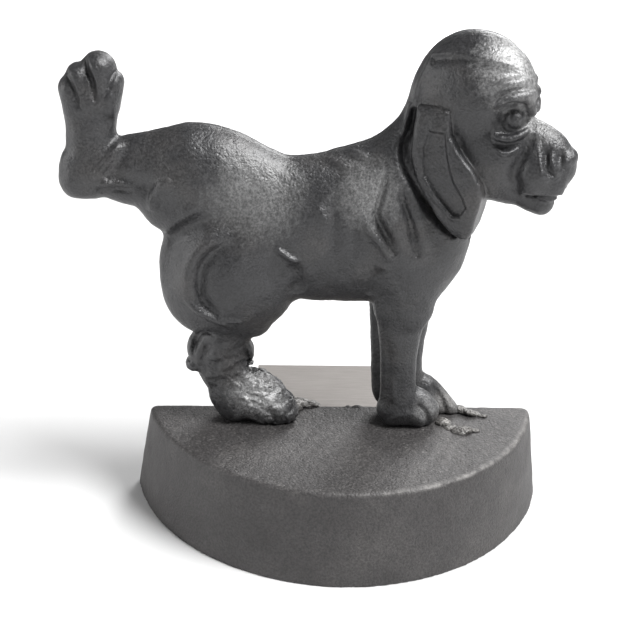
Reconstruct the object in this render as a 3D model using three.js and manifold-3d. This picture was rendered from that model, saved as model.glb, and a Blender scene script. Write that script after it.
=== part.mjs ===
// Cast-iron door stop: a hound with one hind leg raised, on a half-moon base with a wedge behind.
// Millimetres, +Z up. The dog faces +X, and the door side is +Y.
// The origin is on the floor, under the straight back edge of the base, in the middle of its width.
import * as THREE from "three";
import { LoftGeometry } from "three/addons/geometries/LoftGeometry.js";
import { mergeVertices } from "three/addons/utils/BufferGeometryUtils.js";
import Module from "manifold-3d";

const wasm = await Module();
wasm.setup();

// Driving dimensions.
const GAP = 0.3; // clearance between neighbouring castings
const BASE_CHORD = 160; // straight back edge of the base's top
const BASE_DEPTH = 64.4; // from the back edge to the front of the arc
const BASE_HEIGHT = 37.3;
const FRONT_DRAFT = 6.8; // how far the front wall leans out at the floor
const BACK_DRAFT = 1.2;
const BASE_WALL = 6;
const WEDGE_WIDTH = 73;
const WEDGE_REACH = 100; // from the back edge to the thin tip
const WEDGE_ROOT_HEIGHT = 31;
const WEDGE_TIP_HEIGHT = 5;
const TAB_LENGTH = 24; // flat tab of the wedge inside the hollow base
const TAB_THICKNESS = 8;
const SPLIT_Y = -9; // parting plane of the two body castings
const TURN_X = 30; // where the parting surface bends with the dog's turned head
const HEAD_TURN = THREE.MathUtils.degToRad(24);
const COLLAR_Z = 117; // the bend starts above this height
const LIMB_SIDES = 14;
const SCREW_RADIUS = 2.5;
const SCREW_HEAD_RADIUS = 5;
const SCREW_HEAD_HEIGHT = 3;
const SLOT_WIDTH = 1.2;
const SLOT_DEPTH = 1.4;

const CAST_IRON = { color: 0x454546, roughness: 0.55, metalness: 0.7 };
const WORN_IRON = { color: 0x8d8782, roughness: 0.6, metalness: 0.5 };
const SCREW_STEEL = { color: 0x6b6b6a, roughness: 0.4, metalness: 0.9 };
const BRAZE = { color: 0x5c5650, roughness: 0.7, metalness: 0.6 };

// Solids: a closed geometry goes in, and add, subtract and intersect work on what comes out.
function solid(geometry) {
  const bare = new THREE.BufferGeometry();
  bare.setAttribute("position", geometry.getAttribute("position"));
  bare.setIndex(geometry.index);
  const merged = mergeVertices(bare, 1e-3);
  return new wasm.Manifold(
    new wasm.Mesh({
      numProp: 3,
      vertProperties: new Float32Array(merged.attributes.position.array),
      triVerts: new Uint32Array(merged.index.array),
    }),
  );
}

function joined(solids) {
  return solids.reduce((whole, next) => whole.add(next));
}

function meshOf(shape, name, finish) {
  const data = shape.getMesh();
  const geometry = new THREE.BufferGeometry();
  const positions = new Float32Array(data.numVert * 3);
  for (let i = 0; i < data.numVert; i++) {
    const start = i * data.numProp;
    positions.set(data.vertProperties.subarray(start, start + 3), i * 3);
  }
  geometry.setAttribute("position", new THREE.BufferAttribute(positions, 3));
  geometry.setIndex(new THREE.BufferAttribute(data.triVerts, 1));
  geometry.computeVertexNormals();
  const mesh = new THREE.Mesh(geometry, new THREE.MeshStandardMaterial(finish));
  mesh.name = name;
  return mesh;
}

function loft(sections) {
  return solid(new LoftGeometry(sections, { closed: true, capStart: true, capEnd: true }));
}

function box(x0, x1, y0, y1, z0, z1) {
  const geometry = new THREE.BoxGeometry(x1 - x0, y1 - y0, z1 - z0);
  geometry.translate((x0 + x1) / 2, (y0 + y1) / 2, (z0 + z1) / 2);
  return solid(geometry);
}

// A limb follows stations [x, y, z, a, b]: its centre, its half width across the path in the XZ
// plane, and its half thickness along Y. Both ends are rounded off. Grow makes it fatter all round.
function limb(plain, grow = 0) {
  const stations = plain.map(([x, y, z, a, b]) => [x, y, z, a + grow, b + grow]);
  const centre = stations.map(([x, y, z]) => new THREE.Vector3(x, y, z));
  const last = stations.length - 1;
  const tangents = centre.map((point, i) => {
    const along = centre[Math.min(i + 1, last)].clone().sub(centre[Math.max(i - 1, 0)]);
    return along.setY(0).normalize();
  });
  const rings = stations.map(([, , , a, b], i) => ring(centre[i], tangents[i], a, b));
  const capped = (i, way, angle) => {
    const [, , , a, b] = stations[i];
    const reach = Math.min(a, b) * Math.sin(angle) * way;
    const shifted = centre[i].clone().addScaledVector(tangents[i], reach);
    return ring(shifted, tangents[i], a * Math.cos(angle), b * Math.cos(angle));
  };
  const steps = [0.6, 1.15];
  const start = steps.map((angle) => capped(0, -1, angle)).reverse();
  const end = steps.map((angle) => capped(last, 1, angle));
  return loft([...start, ...rings, ...end]);
}

function ring(centre, tangent, a, b) {
  const across = new THREE.Vector3(tangent.z, 0, -tangent.x);
  return Array.from({ length: LIMB_SIDES }, (_, k) => {
    const angle = (k / LIMB_SIDES) * 2 * Math.PI;
    const point = centre.clone().addScaledVector(across, a * Math.cos(angle));
    return point.setY(point.y + b * Math.sin(angle));
  });
}

// An ellipsoid that is flattened or stretched along the axes.
function lump(x, y, z, rx, ry, rz) {
  const geometry = new THREE.SphereGeometry(1, 16, 10);
  geometry.scale(rx, ry, rz);
  geometry.translate(x, y, z);
  return solid(geometry);
}

// Dog: all parts are placed from the parting plane, so y counts out from it towards the viewer's
// side when it is negative.
function bodyParts() {
  const y = SPLIT_Y;
  const torso = limb([
    [-64, y, 139, 16, 11],
    [-55, y, 134.5, 22.5, 14],
    [-42, y, 125, 27, 15],
    [-25, y, 119, 26.5, 14.5],
    [-8, y, 118.5, 27, 15],
    [8, y, 121, 30, 15.5],
    [22, y, 122, 31.5, 15],
    [33, y, 119, 26, 12],
  ]);
  const neck = limb([
    [22, y, 134, 22, 14.5],
    [27, y, 150, 17, 13.5],
    [33, y, 166, 16, 13],
  ]);
  return [torso, neck];
}

function standingHindLeg() {
  const y = SPLIT_Y - 1;
  const thigh = lump(-46, y - 1, 105, 26.5, 17, 29);
  const shank = limb([
    [-46, y, 86, 15, 11],
    [-49.5, y, 74, 12, 9.5],
    [-47.5, y, 63, 12, 8.5],
    [-43, y, 53, 11, 8.5],
    [-40, y, 46, 13, 9],
  ]);
  return [thigh, shank, limb(hindPaw)];
}

const hindPaw = [
  [-47, SPLIT_Y - 1, 44.5, 6.5, 8],
  [-37, SPLIT_Y - 1, 45, 7, 9],
  [-28, SPLIT_Y - 1, 43, 5, 8],
];

function raisedHindLeg() {
  const y = SPLIT_Y + 1;
  const shin = limb([
    [-58, y + 1, 140, 15, 12],
    [-74, y, 141.5, 13, 9.5],
    [-88, y, 140.5, 11, 8.5],
    [-98, y, 139.5, 10, 8],
  ]);
  const foot = limb([
    [-99, y, 139, 10, 8.5],
    [-97, y, 150, 10, 8],
    [-96, y, 162, 9.5, 7.5],
    [-95, y, 171, 11, 8],
  ]);
  const toes = [-102, -97.5, -92.5, -88].map((x, i) =>
    lump(x, y - 1.5, 173.5 + [0, 3, 3.5, 1][i], 3.6, 6.5, 5.5),
  );
  return [shin, foot, ...toes];
}

// Each fore leg: where it stands across the body, and how far its paw is set forward.
const foreLegs = {
  near: { y: SPLIT_Y - 5.4, stride: 0 },
  far: { y: SPLIT_Y + 5.4, stride: 9 },
};

function foreLeg({ y, stride }) {
  return limb([
    [21, y, 100, 15, 7],
    [20, y, 88, 12, 6],
    [20.5 + stride * 0.3, y, 70, 9.8, 5.2],
    [21 + stride * 0.6, y, 54, 9.5, 5],
    [24 + stride, y, 46, 10.5, 5.2],
  ]);
}

function forePaw({ y, stride }) {
  return [
    [21 + stride, y, 44, 6, 5],
    [32 + stride, y, 44.5, 6.5, 5.4],
    [40 + stride, y, 42, 4.2, 4.8],
  ];
}

// The head is built facing along +X and then turned towards the viewer's side.
function headParts() {
  const y = SPLIT_Y;
  const skull = lump(40, y, 172, 21.5, 15.5, 22);
  const brow = lump(54, y, 171.5, 10, 13, 11.5);
  const cheek = lump(49, y, 152, 16, 13.5, 18);
  const snout = limb([
    [50, y, 152, 16, 12.5],
    [62, y, 151.5, 15, 11.5],
    [70, y, 148.5, 12, 10],
    [74, y, 148, 8.5, 8.5],
  ]);
  const chin = limb([
    [54, y, 138.5, 5, 8],
    [65, y, 136, 4.5, 7],
    [69.5, y, 135, 3.5, 6],
  ]);
  const ears = [-1, 1].map((side) =>
    limb([
      [29, y + side * 14.5, 164, 6.5, 3.2],
      [30.5, y + side * 16, 156, 8, 3.4],
      [35.5, y + side * 16.5, 145, 9.5, 3.4],
      [41, y + side * 16, 134, 8, 3.2],
      [44, y + side * 14.5, 126, 4.5, 2.8],
    ]),
  );
  return [skull, brow, cheek, snout, chin, ...ears];
}

function turned(shape) {
  const move = new THREE.Matrix4()
    .makeTranslation(TURN_X, SPLIT_Y, 0)
    .multiply(new THREE.Matrix4().makeRotationZ(-HEAD_TURN))
    .multiply(new THREE.Matrix4().makeTranslation(-TURN_X, -SPLIT_Y, 0));
  return shape.transform(move.toArray());
}

// The space on one side of the parting surface: flat through the body, and bent with the head
// above the collar line.
function halfSpace(side) {
  const far = 120;
  const edge = SPLIT_Y + (side * GAP) / 2;
  const outline = new THREE.Shape();
  outline.moveTo(-far, edge);
  outline.lineTo(TURN_X, edge);
  outline.lineTo(TURN_X + far, edge - Math.tan(HEAD_TURN) * far);
  outline.lineTo(TURN_X + far, side * far);
  outline.lineTo(-far, side * far);
  const geometry = new THREE.ExtrudeGeometry(outline, { depth: 200, bevelEnabled: false });
  const headSide = solid(geometry).intersect(box(-far, far, -far, far, COLLAR_Z, 2 * far));
  const ends = [edge, side * far].sort((a, b) => a - b);
  return headSide.add(box(-far, far, ends[0], ends[1], 0, COLLAR_Z));
}

// Hollow core left in the middle of the body by the foundry's sand core.
function core() {
  const y = SPLIT_Y;
  return limb([
    [-44, y, 125, 13, 9],
    [-25, y, 119.5, 16, 9.5],
    [-4, y, 119.5, 17, 9.5],
    [12, y, 124, 15, 9.5],
  ]);
}

// Screws join the far casting to bosses in the near one; their heads sit in the far casting.
const bodyScrews = [
  { name: "shoulder_screw", x: 24, z: 112, headY: 3.5 },
  { name: "haunch_screw", x: -55, z: 139, headY: 2.5 },
];

// A turned profile of [radius, height] pairs, stood along +Z.
function lathe(profile) {
  const points = profile.map(([radius, height]) => new THREE.Vector2(radius, height));
  const geometry = new THREE.LatheGeometry(points, 24);
  geometry.rotateX(Math.PI / 2);
  return solid(geometry);
}

// A cheese-head screw with its point down and the underside of its head at height 0.
function cheeseHeadScrew(length) {
  const body = lathe([
    [0, -length],
    [SCREW_RADIUS - 0.6, -length],
    [SCREW_RADIUS, -length + 1],
    [SCREW_RADIUS, 0],
    [SCREW_HEAD_RADIUS, 0],
    [SCREW_HEAD_RADIUS, SCREW_HEAD_HEIGHT - 0.6],
    [SCREW_HEAD_RADIUS - 0.8, SCREW_HEAD_HEIGHT],
    [0, SCREW_HEAD_HEIGHT],
  ]);
  const half = SCREW_HEAD_RADIUS + 1;
  const top = SCREW_HEAD_HEIGHT;
  const slot = box(-half, half, -SLOT_WIDTH / 2, SLOT_WIDTH / 2, top - SLOT_DEPTH, top + 1);
  return body.subtract(slot);
}

// The hole for the same screw, with room all round and a counterbore that runs out past the head.
function screwHole(length, out) {
  return lathe([
    [0, -length - GAP],
    [SCREW_RADIUS + GAP, -length - GAP],
    [SCREW_RADIUS + GAP, -GAP],
    [SCREW_HEAD_RADIUS + GAP, -GAP],
    [SCREW_HEAD_RADIUS + GAP, out],
    [0, out],
  ]);
}

const BODY_SCREW_LENGTH = 19;

// Stands a screw or its hole along +Y, so that the head faces the door.
function acrossBody(shape, { x, z, headY }) {
  return shape.rotate([-90, 0, 0]).translate([x, headY, z]);
}

// Everything under the paws' soles, which stand a gap above the base.
function belowDog() {
  return box(-90, 90, -60, 40, 0, BASE_HEIGHT + GAP);
}

function dogHalves() {
  const hound = joined([
    ...bodyParts(),
    ...standingHindLeg(),
    ...raisedHindLeg(),
    ...Object.values(foreLegs).flatMap((leg) => [foreLeg(leg), limb(forePaw(leg))]),
    ...headParts().map(turned),
  ]);
  const bosses = joined(
    bodyScrews.map(({ x, z }) => {
      const boss = lathe([[0, -14], [7, -14], [7, 14], [0, 14]]);
      return boss.rotate([-90, 0, 0]).translate([x, SPLIT_Y, z]);
    }),
  );
  const holes = joined(
    bodyScrews.map((screw) => acrossBody(screwHole(BODY_SCREW_LENGTH, 30), screw)),
  );
  const body = hound.subtract(belowDog()).subtract(core().subtract(bosses)).subtract(holes);
  return [-1, 1].map((side) => body.intersect(halfSpace(side)));
}

// Base: a hollow half-moon. Its outline is an arc of one circle, closed by the straight back edge.
const ARC_RADIUS = (BASE_CHORD ** 2 / 4 + BASE_DEPTH ** 2) / (2 * BASE_DEPTH);
const ARC_CENTRE_Y = ARC_RADIUS - BASE_DEPTH;
const ARC_STEPS = 40;

function halfMoon(grow, backY, z) {
  const radius = ARC_RADIUS + grow;
  const reach = Math.acos((ARC_CENTRE_Y - backY) / radius);
  return Array.from({ length: ARC_STEPS + 1 }, (_, k) => {
    const angle = reach * ((2 * k) / ARC_STEPS - 1);
    const x = radius * Math.sin(angle);
    return new THREE.Vector3(x, ARC_CENTRE_Y - radius * Math.cos(angle), z);
  });
}

const wedgeScrews = [
  { name: "tail_side_wedge_screw", x: -22, y: -12 },
  { name: "head_side_wedge_screw", x: 22, y: -12 },
];
const WEDGE_SCREW_LENGTH = 18;

function base() {
  const outside = loft([
    halfMoon(FRONT_DRAFT, BACK_DRAFT, 0),
    halfMoon(1, 0, BASE_HEIGHT - 1.5),
    halfMoon(0, -0.6, BASE_HEIGHT),
  ]);
  const inside = loft([
    halfMoon(FRONT_DRAFT - BASE_WALL, BACK_DRAFT - BASE_WALL, -1),
    halfMoon(1 - BASE_WALL, -BASE_WALL, BASE_HEIGHT - BASE_WALL),
  ]);
  const halfTab = WEDGE_WIDTH / 2 + GAP;
  const tabSlot = box(-halfTab, halfTab, -BASE_WALL - 2, 5, -1, TAB_THICKNESS + GAP);
  const bosses = joined(
    wedgeScrews.map(({ x, y }) => {
      const top = BASE_HEIGHT - BASE_WALL + 1;
      const boss = lathe([
        [0, TAB_THICKNESS + GAP],
        [6.5, TAB_THICKNESS + GAP],
        [7.5, top],
        [0, top],
      ]);
      return boss.translate([x, y, 0]);
    }),
  );
  const holes = joined(wedgeScrews.map((screw) => fromBelow(screwHole(WEDGE_SCREW_LENGTH, 8), screw)));
  return outside.subtract(inside).subtract(tabSlot).add(bosses).subtract(holes);
}

// Stands a screw or its hole point up, with its head in the underside of the wedge's tab.
function fromBelow(shape, { x, y }) {
  return shape.rotate([180, 0, 0]).translate([x, y, SCREW_HEAD_HEIGHT + 0.7]);
}

function wedge() {
  const profile = new THREE.Shape();
  const back = BACK_DRAFT + GAP;
  profile.moveTo(-TAB_LENGTH, 0);
  profile.lineTo(WEDGE_REACH, 0);
  profile.lineTo(WEDGE_REACH + 0.8, WEDGE_TIP_HEIGHT - 1);
  profile.lineTo(WEDGE_REACH, WEDGE_TIP_HEIGHT);
  profile.lineTo(back, WEDGE_ROOT_HEIGHT);
  profile.lineTo(back, TAB_THICKNESS);
  profile.lineTo(-TAB_LENGTH, TAB_THICKNESS);
  const geometry = new THREE.ExtrudeGeometry(profile, {
    depth: WEDGE_WIDTH,
    bevelEnabled: false,
  });
  // The profile's own x and y become the part's y and z.
  const stand = new THREE.Matrix4().makeBasis(
    new THREE.Vector3(0, 1, 0),
    new THREE.Vector3(0, 0, 1),
    new THREE.Vector3(1, 0, 0),
  );
  geometry.applyMatrix4(stand);
  geometry.translate(-WEDGE_WIDTH / 2, 0, 0);
  const holes = joined(wedgeScrews.map((screw) => fromBelow(screwHole(WEDGE_SCREW_LENGTH, 8), screw)));
  return solid(geometry).subtract(holes);
}

// Braze: a bead of filler metal at the toes of each paw, where the dog is fixed to the base.
const brazeBeads = [
  { name: "hind_paw_braze", paw: hindPaw, x: -21, y: -9, rx: 6, ry: 7, rz: 4 },
  { name: "right_fore_paw_braze", paw: forePaw(foreLegs.near), x: 43, y: -16, rx: 4.5, ry: 5, rz: 3 },
  { name: "left_fore_paw_braze", paw: forePaw(foreLegs.far), x: 54, y: -6, rx: 5, ry: 4.8, rz: 4 },
];

function brazeBead({ paw, x, y, rx, ry, rz }) {
  const bead = lump(x, y, BASE_HEIGHT + GAP, rx, ry, rz);
  return bead.subtract(belowDog()).subtract(limb(paw, GAP));
}

const [nearHalf, farHalf] = dogHalves();
const object = new THREE.Group();
object.add(meshOf(nearHalf, "right_body_casting", CAST_IRON));
object.add(meshOf(farHalf, "left_body_casting", CAST_IRON));
for (const screw of bodyScrews) {
  const shape = acrossBody(cheeseHeadScrew(BODY_SCREW_LENGTH), screw);
  object.add(meshOf(shape, screw.name, SCREW_STEEL));
}
object.add(meshOf(base(), "base_casting", CAST_IRON));
object.add(meshOf(wedge(), "door_wedge", WORN_IRON));
for (const screw of wedgeScrews) {
  const shape = fromBelow(cheeseHeadScrew(WEDGE_SCREW_LENGTH), screw);
  object.add(meshOf(shape, screw.name, SCREW_STEEL));
}

for (const bead of brazeBeads) {
  object.add(meshOf(brazeBead(bead), bead.name, BRAZE));
}

export default object;
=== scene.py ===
import bpy
import bmesh
import math
import numpy as np
import openvdb
from mathutils import Matrix, Vector


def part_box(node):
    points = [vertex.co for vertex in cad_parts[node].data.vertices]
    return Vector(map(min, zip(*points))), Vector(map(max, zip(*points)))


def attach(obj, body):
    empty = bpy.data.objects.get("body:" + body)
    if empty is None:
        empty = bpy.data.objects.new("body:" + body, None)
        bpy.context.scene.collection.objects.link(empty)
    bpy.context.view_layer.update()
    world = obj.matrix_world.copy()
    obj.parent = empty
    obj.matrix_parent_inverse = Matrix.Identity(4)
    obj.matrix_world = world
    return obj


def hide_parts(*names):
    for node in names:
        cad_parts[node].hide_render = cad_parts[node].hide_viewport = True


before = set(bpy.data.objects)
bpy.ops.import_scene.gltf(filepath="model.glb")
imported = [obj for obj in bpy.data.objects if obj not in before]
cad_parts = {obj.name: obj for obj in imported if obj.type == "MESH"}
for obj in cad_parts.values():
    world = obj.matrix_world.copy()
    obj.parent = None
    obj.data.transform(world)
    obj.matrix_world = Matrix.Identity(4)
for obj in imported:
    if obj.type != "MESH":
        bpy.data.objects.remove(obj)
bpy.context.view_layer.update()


# The dog: a hollow figure in grey cast iron, made in two halves that meet on a seam down its middle.
# Each half was cast in sand from a carved pattern, so its relief is soft, and long screws join them.
# Sizes here are millimetres: x towards the nose, y out from the seam (minus is the dog's right), z up.
# Above the collar and in front of it the seam turns with the head, towards the dog's right.
MM = 0.001
GAP = 0.3
SEAM_Y = -9.0
SOLE_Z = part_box("right_body_casting")[0].z / MM
HEAD_TURN = math.radians(24)
TURN_X = 30.0
COLLAR_Z = 117.0
HALF_DEPTH = 40.0
HEAD_HOLE_RADIUS = 5.4
SHANK_HOLE_RADIUS = 2.8
HEAD_SEAT = 3.3
MESH_SIZE = 0.74
FAR = 50.0


def curve_through(stations, steps=5):
    """More stations on a smooth curve through the given ones, with their widths eased the same way."""
    s = np.array(stations, float)
    ends = np.vstack([2 * s[0] - s[1], s, 2 * s[-1] - s[-2]])
    out = []
    for i in range(1, len(ends) - 2):
        a, b, c, d = ends[i - 1 : i + 3]
        for t in np.arange(steps) / steps:
            out.append(
                0.5 * (2 * b + (c - a) * t + (2 * a - 5 * b + 4 * c - d) * t**2
                       + (3 * b - a - 3 * c + d) * t**3)
            )
    out.append(s[-1])
    return np.array(out)


def egg_distance(px, py, pz, rx, ry, rz):
    """Distance to an ellipsoid round the origin, true close to its skin."""
    k0 = np.sqrt((px / rx) ** 2 + (py / ry) ** 2 + (pz / rz) ** 2)
    k1 = np.sqrt((px / rx**2) ** 2 + (py / ry**2) ** 2 + (pz / rz**2) ** 2)
    return k0 * (k0 - 1) / np.maximum(k1, 1e-6)


def line_distance(x, z, points):
    """Distance in the x-z plane from a smooth line, plus to its left, and the share of it passed."""
    line = curve_through(points, 4) if len(points) > 2 else np.array(points, float)
    lengths = np.hypot(*np.diff(line, axis=0).T)
    reached = np.concatenate([[0], np.cumsum(lengths)])
    best = np.full(len(x), FAR)
    side = np.ones(len(x))
    along = np.zeros(len(x))
    for i, (a, b) in enumerate(zip(line[:-1], line[1:])):
        d = b - a
        t = np.clip(((x - a[0]) * d[0] + (z - a[1]) * d[1]) / max(d @ d, 1e-9), 0, 1)
        away = np.hypot(x - a[0] - t * d[0], z - a[1] - t * d[1])
        closer = away < best
        best[closer] = away[closer]
        side[closer] = np.sign(d[0] * (z - a[1]) - d[1] * (x - a[0]))[closer]
        along[closer] = (reached[i] + t * lengths[i])[closer]
    return best * side, along / reached[-1]


def outline_distance(x, z, points):
    """Distance in the x-z plane to a closed outline, below 0 inside it."""
    p = np.array(points, float)
    best = np.full(len(x), FAR)
    inside = np.zeros(len(x), bool)
    for a, b in zip(p, np.roll(p, -1, axis=0)):
        d = b - a
        t = np.clip(((x - a[0]) * d[0] + (z - a[1]) * d[1]) / max(d @ d, 1e-9), 0, 1)
        best = np.minimum(best, np.hypot(x - a[0] - t * d[0], z - a[1] - t * d[1]))
        spans = (a[1] > z) != (b[1] > z)
        rise = b[1] - a[1] if abs(b[1] - a[1]) > 1e-9 else 1e-9
        inside ^= spans & (x < a[0] + (z - a[1]) * d[0] / rise)
    return np.where(inside, -best, best)


def waviness(x, y, z, size, seed):
    """Smooth unevenness from about -1 to 1 with swells about the given size apart."""
    rng = np.random.default_rng(seed)
    total = np.zeros(len(x))
    for _ in range(7):
        way = rng.normal(size=3)
        way *= 2 * math.pi / (size * rng.uniform(0.7, 1.5)) / np.linalg.norm(way)
        total += np.sin(x * way[0] + y * way[1] + z * way[2] + rng.uniform(0, 6.3))
    return total / 4


class Clay:
    """The skin of a figure as distances from many points to it, below 0 inside the iron."""

    def __init__(self, points):
        self.x, self.y, self.z = (np.ascontiguousarray(points[:, i]) for i in range(3))
        dx, dy = self.x - TURN_X, self.y
        cos, sin = math.cos(HEAD_TURN), math.sin(HEAD_TURN)
        self.body = (self.x, self.y, self.z)
        self.head = (TURN_X + dx * cos - dy * sin, dx * sin + dy * cos, self.z)
        self.place = self.body
        self.skin = np.full(len(points), FAR)

    def pick(self, low, high):
        inside = np.ones(len(self.skin), bool)
        for p, lo, hi in zip(self.place, low, high):
            inside &= (p > lo) & (p < hi)
        return np.flatnonzero(inside)

    def join(self, index, distance, soft):
        old = self.skin[index]
        h = np.clip(0.5 + 0.5 * (old - distance) / soft, 0, 1)
        self.skin[index] = old * (1 - h) + distance * h - soft * h * (1 - h)

    def limb(self, stations, soft, side=1):
        """A round form along stations (x, z, y, half width across it, half depth in y)."""
        s = curve_through(stations)
        s[:, 2] *= side
        reach = s[:, 3].max() + soft + 3
        deep = s[:, 4].max() + soft + 3
        index = self.pick((s[:, 0].min() - reach, s[:, 2].min() - deep, s[:, 1].min() - reach),
                          (s[:, 0].max() + reach, s[:, 2].max() + deep, s[:, 1].max() + reach))
        x, y, z = (p[index] for p in self.place)
        best = np.full(len(index), FAR)
        for a, b in zip(s[:-1], s[1:]):
            d = b[:2] - a[:2]
            t = np.clip(((x - a[0]) * d[0] + (z - a[1]) * d[1]) / max(d @ d, 1e-9), 0, 1)
            out = np.hypot(x - a[0] - t * d[0], z - a[1] - t * d[1])
            mid, wide, deep = (a[k] + t * (b[k] - a[k]) for k in (2, 3, 4))
            best = np.minimum(best, egg_distance(out, y - mid, 0, wide, deep, 1))
        self.join(index, best, soft)

    def egg(self, x, y, z, rx, ry, rz, soft):
        far = soft + 3
        index = self.pick((x - rx - far, y - ry - far, z - rz - far),
                          (x + rx + far, y + ry + far, z + rz + far))
        px, py, pz = (p[index] for p in self.place)
        return index, egg_distance(px - x, py - y, pz - z, rx, ry, rz)

    def lump(self, x, y, z, rx, ry, rz, soft):
        self.join(*self.egg(x, y, z, rx, ry, rz, soft), soft)

    def hollow(self, x, y, z, rx, ry, rz, soft):
        """A scoop taken out, its rim eased."""
        index, away = self.egg(x, y, z, rx, ry, rz, soft)
        old, cut = self.skin[index], -away
        h = np.clip(0.5 - 0.5 * (old - cut) / soft, 0, 1)
        self.skin[index] = old * (1 - h) + cut * h + soft * h * (1 - h)

    def stroke(self, points, height, width, sides=(-1, 1), fade=0.25, inner=3.0, lean=0.0):
        """A ridge of the given height along a line on the figure's side, or a groove below 0.
        The width can change from start to end, and the lean makes the line's left slope gentler."""
        p = np.array(points, float)
        start, end = (width, width) if np.isscalar(width) else width
        reach = 3 * max(start, end) * (1 + abs(lean))
        index = self.pick((p[:, 0].min() - reach, -HALF_DEPTH, p[:, 1].min() - reach),
                          (p[:, 0].max() + reach, HALF_DEPTH, p[:, 1].max() + reach))
        x, y, z = (q[index] for q in self.place)
        away, along = line_distance(x, z, points)
        wide = (start + (end - start) * along) * (1 + lean * np.sign(away))
        shape = np.exp(-((away / wide) ** 2))
        shape *= np.clip(np.minimum(along, 1 - along) / fade, 0, 1) ** 0.5
        seam = np.clip((np.abs(y) - inner) / 3, 0, 1)
        self.skin[index] -= height * shape * seam * np.isin(np.sign(y), sides)

    def terrace(self, points, height, edge, sides=(-1, 1), inner=2.0):
        """A flat-topped rise with the given outline, or a recess below 0, its edge eased."""
        p = np.array(points, float)
        index = self.pick((p[:, 0].min() - 4, -HALF_DEPTH, p[:, 1].min() - 4),
                          (p[:, 0].max() + 4, HALF_DEPTH, p[:, 1].max() + 4))
        x, y, z = (q[index] for q in self.place)
        share = np.clip(0.5 - outline_distance(x, z, points) / edge, 0, 1)
        seam = np.clip((np.abs(y) - inner) / 3, 0, 1)
        self.skin[index] -= height * share**2 * (3 - 2 * share) * seam * np.isin(np.sign(y), sides)


def trunk(clay):
    # The barrel of the body, the neck, the chest and the rump.
    clay.limb([(-58, 138, 0, 15, 10), (-51, 132.5, 0, 23.5, 13), (-42, 126.3, 0, 25.6, 14),
               (-33, 122, 0, 26.2, 14.2), (-24, 119.7, 0, 27.4, 14.2), (-14, 119, 0, 28.8, 14.5),
               (-4, 119.8, 0, 29.8, 14.8), (6, 121, 0, 31, 15), (16, 119.5, 0, 28.4, 14.5),
               (19, 116, 0, 25.8, 14)], 1)
    clay.limb([(11, 129, 0, 23, 14), (20, 142, 0, 18, 13.5), (27.2, 154.6, 0, 14.5, 12.5),
               (34, 168, 0, 15.2, 12)], 5)
    clay.limb([(39.6, 143, -4.5, 9.6, 9.5), (36.8, 130, -2.5, 9.4, 10.5), (32.6, 118, -1, 10.8, 11.5),
               (28.8, 106, 0, 11.6, 12), (24.4, 98, 0, 11.2, 11)], 4)
    clay.lump(-57, 0, 136.4, 21.2, 13.8, 20.8, 5)
    clay.lump(-67.4, 0, 127, 11.8, 10.5, 9, 3)


def raised_leg(clay):
    # The thigh, the shin, the point of the hock and four toes.
    clay.limb([(-62, 141, 0, 16.4, 11.5), (-72, 140.4, 0, 14.9, 10), (-82, 140.3, 0, 13, 9),
               (-91, 141, 0, 10.8, 8.3), (-97, 140.6, 0, 10.3, 8)], 4)
    clay.limb([(-97.6, 140.2, 0, 10.5, 8), (-96.5, 146.5, 0, 9, 7.6), (-95.9, 155, 0, 9, 7.2),
               (-95.7, 162, 0, 9.4, 7), (-95.4, 168, 0, 9.9, 7)], 2.5)
    clay.lump(-102.4, 0, 135.4, 5.6, 6.8, 5.4, 3)
    clay.limb([(-99.6, 163, -0.5, 5.2, 6.4), (-101.6, 169.8, -0.5, 4.6, 6)], 1.4)
    clay.limb([(-97.6, 165, -0.5, 5.8, 7), (-98.4, 173.8, -0.5, 5, 6.8)], 1.2)
    clay.limb([(-93.4, 166, -0.5, 6.6, 7.4), (-91.8, 176.6, -0.5, 6.2, 7.2)], 1)
    clay.limb([(-89.6, 164, -0.5, 4.6, 6.4), (-87.4, 172.2, -0.5, 4.3, 6)], 1.2)


def standing_hind_leg(clay):
    # The thigh, the knee, the shin and the hock.
    clay.lump(-46.2, -0.5, 103.4, 27, 17, 29.3, 4)
    clay.lump(-54.6, 0, 93.2, 17.2, 13.5, 17.4, 4)
    clay.lump(-37.6, 0, 80.2, 6.6, 9, 5.6, 2.5)
    clay.limb([(-47.2, 86, 0, 14, 10.5), (-49.6, 74, 0, 11.2, 9), (-50.4, 66, 0, 11.2, 8.4),
               (-48.8, 58.5, 0, 9.8, 8), (-45.4, 51, 0, 8.2, 8), (-44.6, 44, -0.5, 8, 8.2)], 1.5)
    clay.lump(-57.2, 0, 68.4, 6.4, 7.2, 8, 1.2)
    clay.lump(-60, 0, 62, 4.4, 5.6, 3.4, 1)
    # A torn fin of iron stands in front of the hock.
    clay.limb([(-41, 72.5, 0, 1.8, 4.5), (-38.8, 69, 0, 1.6, 4), (-38.2, 65.8, 0, 1.3, 3.4)], 0.6)
    clay.lump(-39.4, -1, 62.6, 2, 3, 1.5, 0.6)
    clay.limb([(-44.6, 49.5, -0.5, 10.8, 8.4), (-37, 47.6, -0.8, 10.8, 8.8), (-30, 43.8, -1, 8.8, 8.6),
               (-23.5, 40.2, -1, 4.8, 6.8)], 1.5)


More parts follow.
